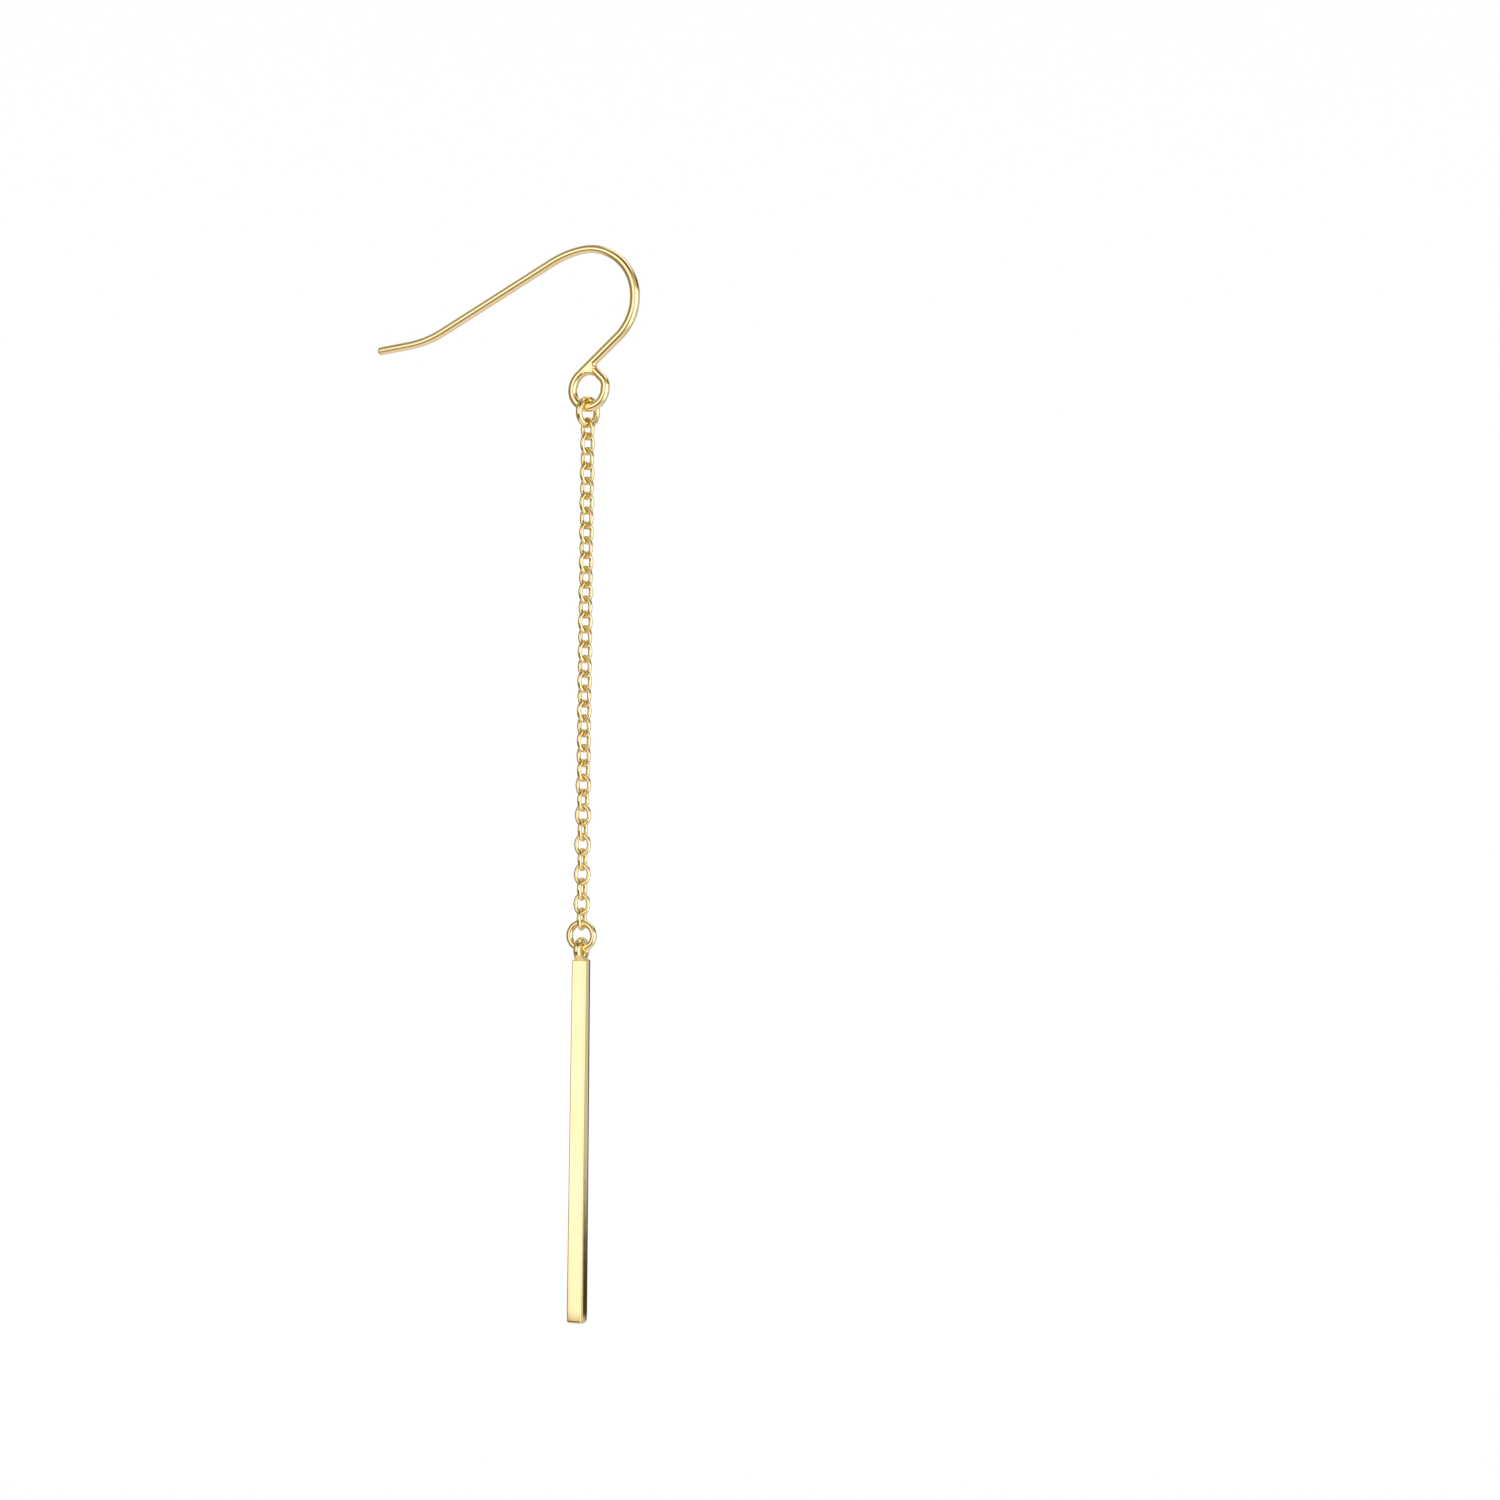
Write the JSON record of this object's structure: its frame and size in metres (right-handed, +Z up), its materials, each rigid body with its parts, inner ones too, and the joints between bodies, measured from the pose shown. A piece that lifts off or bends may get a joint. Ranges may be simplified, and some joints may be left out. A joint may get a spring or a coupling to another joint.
{
  "type": "bar earring",
  "caption": "Gold-coloured drop earring: an open ear hook with a round eye, a fine cable chain between two jump rings, and a slim square bar hung by its soldered eyelet.",
  "frame": {"origin": "ear seat: the underside of the ear hook's crown at its highest point, where the earring hangs in the ear", "axes": "+Z up, with the chain and the bar hanging along -Z; the ear hook lies in the XZ plane with its tip towards -X and its front leg towards +X; +Y across the wire"},
  "size_m": [0.0281, 0.003, 0.1078],
  "materials": {
    "ear_wire_gold": "polished, gold plated",
    "ring_gold": "polished, gold plated",
    "chain_gold": "polished, gold plated",
    "bar_gold": "polished, gold plated"
  },
  "bodies": {
    "hanger": {"ear_hook": "ear_wire_gold", "upper_ring": "ring_gold", "link_01": "chain_gold", "link_02": "chain_gold", "link_03": "chain_gold", "link_04": "chain_gold", "link_05": "chain_gold", "link_06": "chain_gold", "link_07": "chain_gold", "link_08": "chain_gold", "link_09": "chain_gold", "link_10": "chain_gold", "link_11": "chain_gold", "link_12": "chain_gold", "link_13": "chain_gold", "link_14": "chain_gold", "link_15": "chain_gold", "link_16": "chain_gold", "link_17": "chain_gold", "link_18": "chain_gold", "link_19": "chain_gold", "link_20": "chain_gold", "link_21": "chain_gold", "link_22": "chain_gold", "link_23": "chain_gold", "link_24": "chain_gold", "link_25": "chain_gold", "link_26": "chain_gold", "link_27": "chain_gold", "link_28": "chain_gold", "link_29": "chain_gold", "link_30": "chain_gold", "link_31": "chain_gold", "link_32": "chain_gold", "link_33": "chain_gold", "link_34": "chain_gold", "lower_ring": "ring_gold"},
    "bar": {"bar": "bar_gold"}
  },
  "joints": [
    {"name": "bar_swing", "type": "hinge", "parent": "hanger", "child": "bar", "pos_m": [-0.00007, 0, -0.06955], "axis": [1, 0, 0], "range_deg": [-120, 120]}
  ]
}
